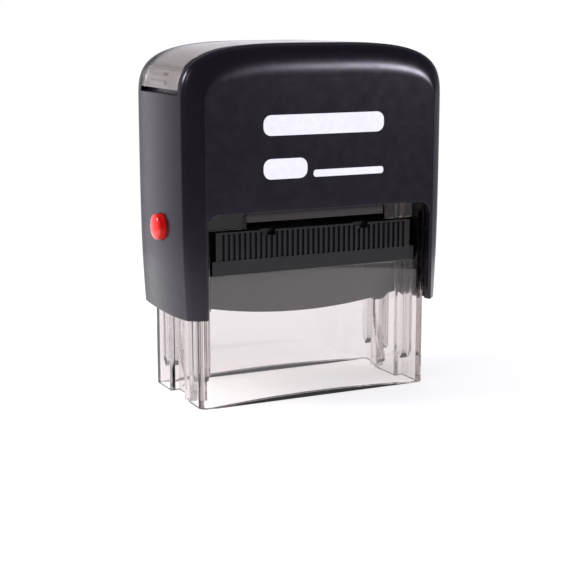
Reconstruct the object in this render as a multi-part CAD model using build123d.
from build123d import *
import os
from math import cos, pi, sin, sqrt

# Self inking stamp with a 38 x 14 mm text die. Millimetres.
# The origin is the centre of the base's footprint, +Z is up and -Y is the front, where the ink cartridge is.
# The stamp is at rest: the cover is up and the die faces up, just under the ink pad.

# How far a cutting block passes beyond what it cuts
CUT_SPARE = 1.0

# Stroke and imprint
STROKE = 15.0
DIE_W = 38.0
DIE_D = 14.0
FACE_RADIUS = 6.9
FACE_LIFT = 0.1
AXLE_Z = STROKE + FACE_RADIUS + FACE_LIFT

# Clear base frame
BASE_HALF_W = 26.9
BASE_HALF_D = 13.2
BASE_H = 45.0
BASE_CORNER = 1.6
BASE_INNER_CORNER = 0.6
BASE_WALL = 1.5
GROOVE_HALF = 4.0
GROOVE_DEPTH = 2.0
CHEEK_HALF = 5.6
CHEEK_IN = 23.5
PAD_FLOOR = 28.0
PAD_HEAD = 37.4
PAD_OPENING_HALF = 24.6
POST_IN = 23.3
POST_Y = 8.0
POST_HALF = 1.4
POST_FOOT = 6.5
POST_POINT = 1.8
STRIP_HALF = 24.0
STRIP_RISE = 0.9

# Cover
HALF_W = 30.2
HALF_D = 15.9
TOP_Z = 75.1
SHOULDER_Z = 62.0
SKIRT_Z = 12.0
SIDE_TAPER = 1.5
TAPER_POWER = 3.7
ARCH_POWER = 3.6
CREASE_X = 26.7
ROUND_DEPTH = 4.0
ROUND_DROP = 6.2
# Depths behind an end's flat panel, and how far its sides are drawn in to the crease at each
FACET_DEPTHS = [0.0, 0.5, 1.0, 1.5, 2.2, 3.0, ROUND_DEPTH]
FRONT_PINCH = [1.0, 0.82, 0.64, 0.46, 0.21, 0.03, 0.0]
REAR_PINCH = [1.0, 0.88, 0.75, 0.62, 0.45, 0.24, 0.0]
CAVITY_HALF_W = 27.9
CAVITY_HALF_D = 14.1
CAVITY_SHOULDER = 55.0
CAVITY_TOP = 71.9
WINDOW_HALF = 26.0
WINDOW_TOP = 41.0
WINDOW_CORNER = 2.5
HEM_MID = 18.4
HEM_END = 19.8
STOP_GAP = 0.2
GUIDE_Y = 8.5
GUIDE_GAP = 0.25
GUIDE_FOOT = 24.0
RIB_HALF = 0.6
STOP_X = 18.7
BULKHEAD_RISE = 0.6

# Index cap and label in the cover's top
RECESS_HALF = 10.3
RECESS_DEPTH = 1.6
RECESS_FOOT = 64.9
CAP_GAP = 0.2
CAP_THICK = 1.1
CAP_FOOT = 65.9
LABEL_THICK = 0.2
LABEL_MARGIN = 0.6
GRIP_FOOT = 66.7
GRIP_PITCH = 1.8
GRIP_THICK = 0.8
GRIP_HALF = 4.2
GRIP_PROUD = 0.25

# Ink cartridge
PAD_HALF_W = 23.0
LIP_HALF_W = 23.9
PAD_FRONT = 12.6
PAD_BACK = 11.4
PAD_TOP = 36.9
LIP_TOP = 31.0
LIP_DEPTH = 5.2
LIP_PROUD = 0.2
TRAY_HALF_W = 21.4
TRAY_HALF_D = 10.2
TRAY_ROOF = 35.4
FELT_FACE = 29.3
RIB_COUNT = 35
RIB_PITCH = 1.22
RIB_DEPTH = 0.5
RIB_GROOVE = 0.6
RIB_TOP = 36.5
NOTCH_X = 11.0
NOTCH_W = 3.0
NOTCH_H = 1.2
NOTCH_DEPTH = 1.6

# Platen, the turning block
PLATEN_HALF_W = 22.3
PLATEN_HALF_D = 7.2
PLATE_TOP = 5.2
PLATE_THICK = 1.4
SKIRT_MID = 4.1
SKIRT_END = 1.9
SKIRT_WALL = 1.2
DISC_RADIUS = 5.0
DISC_THICK = 1.5
HUB_RADIUS = 2.8
PLATEN_RIB = 1.0
PLATEN_RIB_PITCH = 9.0
FOAM_TOP = 6.0
RELIEF = 0.4
DIE_LINE = 0.8
BAR_PITCH = 3.6
LONG_BAR = 15.0
SHORT_BAR = 12.0
FOLLOWER_RADIUS = 0.95
FOLLOWER_ARM = 3.6
FOLLOWER_TIP = 24.1
CAM_DEPTH = 0.8
CAM_CLEARANCE = 0.25

# Axles, bushes and buttons
AXLE_RADIUS = 1.5
AXLE_IN = 19.2
AXLE_OUT = 27.7
RUNNING_GAP = 0.05
BUSH_RADIUS = 2.3
BOSS_RADIUS = 3.1
BOSS_IN = 25.2
SLOT_GAP = 0.15
BUTTON_Z = 37.1
BUTTON_RADIUS = 2.75
BUTTON_REACH = 32.0
BUTTON_CROWN = 0.5
BUTTON_HOLE_GAP = 0.15
FLANGE_RADIUS = 3.7
FLANGE_IN = 26.7
FLANGE_OUT = 27.8
LEAF_THICK = 0.3
LEAF_HALF = 1.6
LEAF_FOOT = 36.0
LEAF_HEAD = 49.0
LEAF_ANCHOR = 46.0

# Main spring, its bridge and its cup
BRIDGE_HALF_W = 16.2
BRIDGE_HALF_D = 12.8
BRIDGE_PLATE = 2.0
BRIDGE_SKIRT = 1.0
BRIDGE_FOOT = 38.6
FIT_GAP = 0.1
POST_RADIUS = 3.2
POST_TOP = 53.0
WIRE = 0.8
COIL_RADIUS = 4.6
COIL_TURNS = 8
CUP_FLOOR = 70.6
CUP_TOP = 71.5
CUP_FOOT = 66.0
CUP_BORE = 5.4
CUP_RADIUS = 6.4


def block(x0, x1, y0, y1, z0, z1):
    """A box between two corners."""
    size = Box(x1 - x0, y1 - y0, z1 - z0)
    return Pos((x0 + x1) / 2, (y0 + y1) / 2, (z0 + z1) / 2) * size


def rod(radius, x0, x1, y, z):
    """A cylinder along X."""
    return Pos((x0 + x1) / 2, y, z) * Rot(0, 90, 0) * Cylinder(radius, abs(x1 - x0))


def both_sides(solid):
    """The solid and its mirror image across the plane X = 0."""
    return solid + mirror(solid, Plane.YZ)


def side_half(z):
    """The cover's half width at a height below its shoulder."""
    drop = (SHOULDER_Z - z) / (SHOULDER_Z - SKIRT_Z)
    return HALF_W - SIDE_TAPER * drop**TAPER_POWER


def arch_points(half, rise, z0, steps=12):
    """Points of a superellipse arch from the left shoulder over the top to the right one."""
    points = []
    for i in range(steps + 1):
        angle = pi - pi * i / steps
        spread = abs(cos(angle)) ** ARCH_POWER + abs(sin(angle)) ** ARCH_POWER
        reach = spread ** (-1 / ARCH_POWER)
        points.append((half * reach * cos(angle), z0 + rise * reach * sin(angle)))
    return points


def arch_face(sides, z0, top):
    """A closed XZ outline from side points (x, z), lowest first, and an arch above them."""
    half = sides[-1][0]
    left = [(-x, z) for x, z in sides]
    right = sides[::-1]
    arch = Spline(arch_points(half, top - z0, z0), tangents=[(0, 1), (0, -1)])
    edges = [Spline(left), arch, Spline(right), Line(right[-1], left[0])]
    return make_face(edges)


def cover_face(pinch=0.0, drop=0.0, inset=0.0):
    """The cover's outline: pinch draws its sides in to the crease and drop lowers its arch."""
    heights = [SKIRT_Z, 24.0, 37.0, 50.0, SHOULDER_Z]
    sides = []
    for z in heights:
        outer = side_half(z) - inset
        sides.append((outer + (CREASE_X - outer) * pinch, z))
    return arch_face(sides, SHOULDER_Z, TOP_Z - inset - drop)


def cover_end(pinches):
    """An end of the cover, as the front: a flat panel with a facet down each side and a rounded top."""
    sections = []
    for depth, pinch in zip(FACET_DEPTHS, pinches):
        rest = 1 - depth / ROUND_DEPTH
        drop = ROUND_DROP * (1 - sqrt(1 - rest**2))
        plane = Plane.XZ.offset(HALF_D - depth)
        sections.append(plane * cover_face(pinch, drop))
    return loft(sections)


def cover_block():
    """The cover's outer form before it is hollowed."""
    middle = extrude(Plane.XZ * cover_face(), amount=HALF_D - ROUND_DEPTH, both=True)
    return middle + cover_end(FRONT_PINCH) + mirror(cover_end(REAR_PINCH), Plane.XZ)


def cover_cavity():
    """The space inside the cover, open at the bottom."""
    sides = [(CAVITY_HALF_W, 0.0), (CAVITY_HALF_W, 30.0), (CAVITY_HALF_W, CAVITY_SHOULDER)]
    face = arch_face(sides, CAVITY_SHOULDER, CAVITY_TOP)
    return extrude(Plane.XZ * face, amount=CAVITY_HALF_D, both=True)


def front_window():
    """The window in the cover's front wall, open at the bottom between the two legs."""
    y_out = HALF_D + CUT_SPARE
    opening = block(-WINDOW_HALF, WINDOW_HALF, -y_out, CUT_SPARE - CAVITY_HALF_D, 0, WINDOW_TOP)
    top_corners = opening.edges().filter_by(Axis.Y).group_by(Axis.Z)[-1]
    return fillet(top_corners, WINDOW_CORNER)


def hem_cut():
    """What is cut away below the cover's curved lower edge."""
    reach = HALF_D + CUT_SPARE
    hem = ThreePointArc((-reach, HEM_END), (0, HEM_MID), (reach, HEM_END))
    floor = Polyline((reach, HEM_END), (reach, 0), (-reach, 0), (-reach, HEM_END))
    return extrude(Plane.YZ * make_face([hem, floor]), amount=HALF_W + CUT_SPARE, both=True)


def saddle(outer_inset, inner_inset, half_depth, foot):
    """A strip that follows the cover's arch between two insets, above a height."""
    outer = extrude(Plane.XZ * cover_face(inset=outer_inset), amount=half_depth, both=True)
    inner = extrude(Plane.XZ * cover_face(inset=inner_inset), amount=half_depth, both=True)
    x_out = HALF_W + 2 * CUT_SPARE
    above = block(-x_out, x_out, -half_depth, half_depth, foot, TOP_Z + 2 * CUT_SPARE)
    return (outer - inner) & above


def guide_ribs():
    """Vertical ribs inside the cover's sides, which the base slides along."""
    x_in = BASE_HALF_W + GUIDE_GAP
    rear = block(x_in, CAVITY_HALF_W, GUIDE_Y - RIB_HALF, GUIDE_Y + RIB_HALF, GUIDE_FOOT, CAVITY_SHOULDER)
    return both_sides(rear + mirror(rear, Plane.XZ))


def stop_ribs():
    """Ribs under the cover's ceiling, which stop the stroke on the base's top."""
    foot = BASE_H + STROKE + STOP_GAP
    rib = block(STOP_X - RIB_HALF, STOP_X + RIB_HALF, -CAVITY_HALF_D, CAVITY_HALF_D, foot, CAVITY_TOP)
    return both_sides(rib)


def axle_boss():
    """The ring inside the cover's leg that holds an axle bush."""
    ring = rod(BOSS_RADIUS, BOSS_IN, CAVITY_HALF_W, 0, AXLE_Z)
    return ring - rod(BUSH_RADIUS, BOSS_IN, CAVITY_HALF_W, 0, AXLE_Z)


def leaf_anchor():
    """The block on the cover's inner side that a button's leaf spring is fixed to."""
    half = LEAF_HALF + RIB_HALF
    return block(FLANGE_IN, CAVITY_HALF_W, -half, half, LEAF_ANCHOR, LEAF_HEAD)


def spring_seat():
    """The pad under the ceiling that the spring's cup is fixed to."""
    head = CAVITY_TOP + BULKHEAD_RISE
    return Pos(0, 0, (CUP_TOP + head) / 2) * Cylinder(CUP_RADIUS, head - CUP_TOP)


def housing():
    """The black cover: a shell with the window in front, the cap's recess on top and its fittings inside."""
    shell = cover_block() - cover_cavity() - front_window() - hem_cut()
    recess = saddle(-CUT_SPARE, RECESS_DEPTH, RECESS_HALF, RECESS_FOOT)
    hole = rod(BUTTON_RADIUS + BUTTON_HOLE_GAP, CAVITY_HALF_W - CUT_SPARE, HALF_W + CUT_SPARE, 0, BUTTON_Z)
    shell = shell - recess - both_sides(hole)
    inside = guide_ribs() + stop_ribs() + both_sides(axle_boss()) + both_sides(leaf_anchor())
    return shell + (inside & cover_cavity()) + spring_seat()


def index_cap():
    """The clear saddle over the label, with two grip ribs on each end."""
    cap = saddle(0.0, CAP_THICK, RECESS_HALF - CAP_GAP, CAP_FOOT)
    inner = extrude(Plane.XZ * cover_face(inset=CAP_THICK), amount=RECESS_HALF, both=True)
    x_in = HALF_W - CAP_THICK
    for z in (GRIP_FOOT, GRIP_FOOT + GRIP_PITCH):
        bar = block(x_in, HALF_W + GRIP_PROUD, -GRIP_HALF, GRIP_HALF, z, z + GRIP_THICK)
        cap = cap + (both_sides(bar) - inner)
    return cap


def index_label():
    """The printed label that shows the imprint under the clear cap."""
    half = RECESS_HALF - CAP_GAP - LABEL_MARGIN
    return saddle(RECESS_DEPTH - LABEL_THICK, RECESS_DEPTH, half, CAP_FOOT + LABEL_MARGIN)


def rounded_tube(half_w, half_d, radius, z0, z1):
    """A rounded rectangle extruded between two heights."""
    face = RectangleRounded(2 * half_w, 2 * half_d, radius)
    return extrude(Pos(0, 0, z0) * face, amount=z1 - z0)


def strip_solid(front):
    """The foot strip let into the bottom edge of the front or rear wall."""
    arch = ThreePointArc((-STRIP_HALF, 0), (0, STRIP_RISE), (STRIP_HALF, 0))
    face = make_face([arch, Line((STRIP_HALF, 0), (-STRIP_HALF, 0))])
    y_in = BASE_HALF_D - BASE_WALL
    solid = extrude(Plane.XZ.offset(y_in) * face, amount=BASE_WALL)
    return solid if front else mirror(solid, Plane.XZ)


def follower_path(turn):
    """Where a follower's centre is, seen from the side, when the platen has turned by this many radians."""
    travel = STROKE * turn / pi
    return FOLLOWER_ARM * sin(turn), AXLE_Z - travel + FOLLOWER_ARM * cos(turn)


def cam_track():
    """The curved track in a cheek that turns the platen as the cover goes down."""
    half = FOLLOWER_RADIUS + CAM_CLEARANCE
    rate = STROKE / pi
    x_in = CHEEK_IN - CUT_SPARE
    steps = 12
    left, right = [], []
    for i in range(steps + 1):
        turn = pi * i / steps
        y, z = follower_path(turn)
        run_y = FOLLOWER_ARM * cos(turn)
        run_z = -rate - FOLLOWER_ARM * sin(turn)
        length = sqrt(run_y**2 + run_z**2)
        shift_y = -half * run_z / length
        shift_z = half * run_y / length
        left.append((y + shift_y, z + shift_z))
        right.append((y - shift_y, z - shift_z))
    ends = [Line(left[-1], right[-1]), Line(right[0], left[0])]
    edges = [Spline(left), ends[0], Spline(right[::-1]), ends[1]]
    track = extrude(Plane.YZ.offset(x_in) * make_face(edges), amount=CAM_DEPTH + CUT_SPARE)
    for turn in (0, pi):
        y, z = follower_path(turn)
        track = track + rod(half, x_in, CHEEK_IN + CAM_DEPTH, y, z)
    return track


def axle_slot():
    """The slot through a cheek that the axle slides in."""
    half = AXLE_RADIUS + SLOT_GAP
    x0, x1 = CHEEK_IN - CUT_SPARE, BASE_HALF_W + CUT_SPARE
    low = AXLE_Z - STROKE
    slot = block(x0, x1, -half, half, low, AXLE_Z)
    return slot + rod(half, x0, x1, 0, low) + rod(half, x0, x1, 0, AXLE_Z)


def corner_post(y):
    """A post inside a side wall that carries the cartridge's lip, with a pointed foot."""
    x_out = BASE_HALF_W - BASE_WALL / 2
    post = block(POST_IN, x_out, y - POST_HALF, y + POST_HALF, POST_FOOT, PAD_FLOOR)
    corners = [(y - POST_HALF, POST_FOOT), (y, POST_FOOT - POST_POINT), (y + POST_HALF, POST_FOOT)]
    tip = Polyline(*corners, close=True)
    foot = extrude(Plane.YZ.offset(POST_IN) * make_face(tip), amount=x_out - POST_IN)
    return post + foot


def base_side():
    """What stands inside the right wall: the cheek and the two posts."""
    cheek = block(CHEEK_IN, BASE_HALF_W - BASE_WALL / 2, -CHEEK_HALF, CHEEK_HALF, 0, BASE_H)
    return cheek + corner_post(-POST_Y) + corner_post(POST_Y)


def base_side_cuts():
    """The outer groove, the axle slot and the cam track of the right side."""
    floor_x = BASE_HALF_W - GROOVE_DEPTH
    x_out = BASE_HALF_W + CUT_SPARE
    groove = block(floor_x, x_out, -GROOVE_HALF, GROOVE_HALF, -CUT_SPARE, BASE_H + CUT_SPARE)
    return groove + axle_slot() + cam_track()


def base_frame():
    """The clear tube that stands on the paper, open in front for the cartridge and notched for the bridge."""
    outer = rounded_tube(BASE_HALF_W, BASE_HALF_D, BASE_CORNER, 0, BASE_H)
    in_w = BASE_HALF_W - BASE_WALL
    in_d = BASE_HALF_D - BASE_WALL
    tube = outer - rounded_tube(in_w, in_d, BASE_INNER_CORNER, -CUT_SPARE, BASE_H + CUT_SPARE)
    tube = tube + both_sides(base_side()) - both_sides(base_side_cuts())
    y_out = BASE_HALF_D + CUT_SPARE
    half = PAD_OPENING_HALF
    opening = block(-half, half, -y_out, CUT_SPARE - in_d, PAD_FLOOR, PAD_HEAD)
    half = BRIDGE_HALF_W + FIT_GAP
    notch = block(-half, half, -y_out, y_out, BRIDGE_FOOT, BASE_H + CUT_SPARE)
    throat = block(-half, half, -y_out, CUT_SPARE - in_d, PAD_FLOOR, BRIDGE_FOOT + CUT_SPARE)
    return tube - opening - notch - throat - strip_solid(True) - strip_solid(False)


def spring_bridge():
    """The bridge across the base's top that carries the spring."""
    half_w, half_d = BRIDGE_HALF_W, BRIDGE_HALF_D
    plate = block(-half_w, half_w, -half_d, half_d, BASE_H - BRIDGE_PLATE, BASE_H)
    skirts = []
    for y0 in (-half_d, half_d - BRIDGE_SKIRT):
        skirts.append(block(-half_w, half_w, y0, y0 + BRIDGE_SKIRT, BRIDGE_FOOT, BASE_H))
    post = Pos(0, 0, (BASE_H + POST_TOP) / 2) * Cylinder(POST_RADIUS, POST_TOP - BASE_H)
    return plate + skirts[0] + skirts[1] + post


def main_spring():
    """The coil between the bridge and the cup, which holds the cover up."""
    rise = CUP_FLOOR - BASE_H - WIRE
    path = Helix(rise / COIL_TURNS, rise, COIL_RADIUS)
    start = Plane(path @ 0, z_dir=path % 0)
    wire = sweep(start * Circle(WIRE / 2), path=path, is_frenet=True)
    return Pos(0, 0, BASE_H + WIRE / 2) * wire


def spring_cup():
    outer = Pos(0, 0, (CUP_FOOT + CUP_TOP) / 2) * Cylinder(CUP_RADIUS, CUP_TOP - CUP_FOOT)
    bore = Pos(0, 0, (CUP_FOOT + CUP_FLOOR) / 2) * Cylinder(CUP_BORE, CUP_FLOOR - CUP_FOOT)
    return outer - bore


def face_ribs():
    """The grooves that leave the ribbed grip on the cartridge's front."""
    first = -RIB_PITCH * RIB_COUNT / 2
    half = RIB_GROOVE / 2
    y_out, y_in = -PAD_FRONT - CUT_SPARE, RIB_DEPTH - PAD_FRONT
    grooves = []
    for i in range(RIB_COUNT + 1):
        x = first + i * RIB_PITCH
        grooves.append(block(x - half, x + half, y_out, y_in, LIP_TOP, RIB_TOP))
    return Compound(children=grooves)


def ink_cartridge():
    """The tray that holds the felt face down, with lips that slide on the posts and a ribbed front."""
    body = block(-PAD_HALF_W, PAD_HALF_W, -PAD_FRONT, PAD_BACK, PAD_FLOOR, PAD_TOP)
    front = -PAD_FRONT - LIP_PROUD
    front_lip = block(-LIP_HALF_W, LIP_HALF_W, front, front + LIP_DEPTH, PAD_FLOOR, LIP_TOP)
    rear_lip = block(-LIP_HALF_W, LIP_HALF_W, PAD_BACK - LIP_DEPTH, PAD_BACK, PAD_FLOOR, LIP_TOP)
    half_w, half_d = TRAY_HALF_W, TRAY_HALF_D
    tray = block(-half_w, half_w, -half_d, half_d, PAD_FLOOR - CUT_SPARE, TRAY_ROOF)
    body = body + front_lip + rear_lip - tray - face_ribs()
    x0, x1 = NOTCH_X - NOTCH_W / 2, NOTCH_X + NOTCH_W / 2
    notch = block(x0, x1, front, NOTCH_DEPTH - PAD_FRONT, PAD_TOP - NOTCH_H, PAD_TOP)
    return body - both_sides(notch)


def felt_pad():
    return block(-TRAY_HALF_W, TRAY_HALF_W, -TRAY_HALF_D, TRAY_HALF_D, FELT_FACE, TRAY_ROOF)


def skirt_profile():
    """The platen's front outline: a plate with a skirt whose lower edge is a shallow arc."""
    left, right = (-PLATEN_HALF_W, -SKIRT_END), (PLATEN_HALF_W, -SKIRT_END)
    arc = ThreePointArc(left, (0, -SKIRT_MID), right)
    box = Polyline(right, (PLATEN_HALF_W, PLATE_TOP), (-PLATEN_HALF_W, PLATE_TOP), left)
    return make_face([arc, box])


def platen_carrier():
    """The turning block: plate, two skirts, end discs with hubs, and the two cam followers."""
    outer = extrude(Plane.XZ * skirt_profile(), amount=PLATEN_HALF_D, both=True)
    in_w = PLATEN_HALF_W - DISC_THICK
    in_d = PLATEN_HALF_D - SKIRT_WALL
    hollow = block(-in_w, in_w, -in_d, in_d, -SKIRT_MID - CUT_SPARE, PLATE_TOP - PLATE_THICK)
    body = outer - hollow
    disc = rod(DISC_RADIUS, in_w, PLATEN_HALF_W, 0, 0)
    hub = rod(HUB_RADIUS, AXLE_IN, in_w, 0, 0)
    follower = rod(FOLLOWER_RADIUS, PLATEN_HALF_W, FOLLOWER_TIP, 0, FOLLOWER_ARM)
    bore = rod(AXLE_RADIUS, AXLE_IN, PLATEN_HALF_W, 0, 0)
    body = body + both_sides(disc + hub + follower) - both_sides(bore)
    for x in (-PLATEN_RIB_PITCH, 0.0, PLATEN_RIB_PITCH):
        half = PLATEN_RIB / 2
        body = body + block(x - half, x + half, -in_d, in_d, -PLATEN_RIB, PLATE_TOP - PLATE_THICK)
    return Pos(0, 0, AXLE_Z) * body


def foam_tape():
    half_w, half_d = DIE_W / 2, DIE_D / 2
    return block(-half_w, half_w, -half_d, half_d, AXLE_Z + PLATE_TOP, AXLE_Z + FOAM_TOP)


def text_die():
    """The rubber die: a sheet with a raised frame and three plain bars, and no lettering."""
    half_w, half_d = DIE_W / 2, DIE_D / 2
    low = AXLE_Z + FOAM_TOP
    face = AXLE_Z + FACE_RADIUS
    root = face - RELIEF
    sheet = block(-half_w, half_w, -half_d, half_d, low, root)
    in_w, in_d = half_w - DIE_LINE, half_d - DIE_LINE
    frame = block(-half_w, half_w, -half_d, half_d, root, face)
    frame = frame - block(-in_w, in_w, -in_d, in_d, root, face)
    for y, half in ((-BAR_PITCH, LONG_BAR), (0.0, SHORT_BAR), (BAR_PITCH, LONG_BAR)):
        frame = frame + block(-half, half, y - DIE_LINE, y + DIE_LINE, root, face)
    return sheet + frame


def axle_right():
    return rod(AXLE_RADIUS, AXLE_IN, AXLE_OUT, 0, AXLE_Z)


def axle_bush_right():
    ring = rod(BUSH_RADIUS, BOSS_IN, CAVITY_HALF_W, 0, AXLE_Z)
    return ring - rod(AXLE_RADIUS + RUNNING_GAP, BOSS_IN, CAVITY_HALF_W, 0, AXLE_Z)


def button_right():
    """A low button with a slightly domed face, and a flange that keeps it in the cover's side."""
    flat_end = BUTTON_REACH - BUTTON_CROWN
    corners = [
        (flat_end, BUTTON_RADIUS),
        (FLANGE_OUT, BUTTON_RADIUS),
        (FLANGE_OUT, FLANGE_RADIUS),
        (FLANGE_IN, FLANGE_RADIUS),
        (FLANGE_IN, 0),
        (BUTTON_REACH, 0),
    ]
    dome_radius = (BUTTON_RADIUS**2 + BUTTON_CROWN**2) / (2 * BUTTON_CROWN)
    knee = BUTTON_RADIUS / 2
    sag = dome_radius - sqrt(dome_radius**2 - knee**2)
    crown = ThreePointArc(corners[-1], (BUTTON_REACH - sag, knee), corners[0])
    half_section = make_face([Polyline(*corners), crown])
    return Pos(0, 0, BUTTON_Z) * revolve(half_section, Axis.X)


def button_spring_right():
    """The leaf spring behind the button, fixed to the cover at its head and pressing on the flange."""
    x1 = FLANGE_IN
    return block(x1 - LEAF_THICK, x1, -LEAF_HALF, LEAF_HALF, LEAF_FOOT, LEAF_HEAD)


def mirrored(solid):
    return mirror(solid, Plane.YZ)


NODES = {
    "housing": housing(),
    "index_cap": index_cap(),
    "index_label": index_label(),
    "base_frame": base_frame(),
    "foot_strip_front": strip_solid(True),
    "foot_strip_rear": strip_solid(False),
    "spring_bridge": spring_bridge(),
    "main_spring": main_spring(),
    "spring_cup": spring_cup(),
    "ink_cartridge": ink_cartridge(),
    "felt_pad": felt_pad(),
    "platen_carrier": platen_carrier(),
    "foam_tape": foam_tape(),
    "text_die": text_die(),
    "axle_right": axle_right(),
    "axle_left": mirrored(axle_right()),
    "axle_bush_right": axle_bush_right(),
    "axle_bush_left": mirrored(axle_bush_right()),
    "button_right": button_right(),
    "button_left": mirrored(button_right()),
    "button_spring_right": button_spring_right(),
    "button_spring_left": mirrored(button_spring_right()),
}

os.makedirs("parts", exist_ok=True)
for name, solid in NODES.items():
    export_step(solid, f"parts/{name}.step")
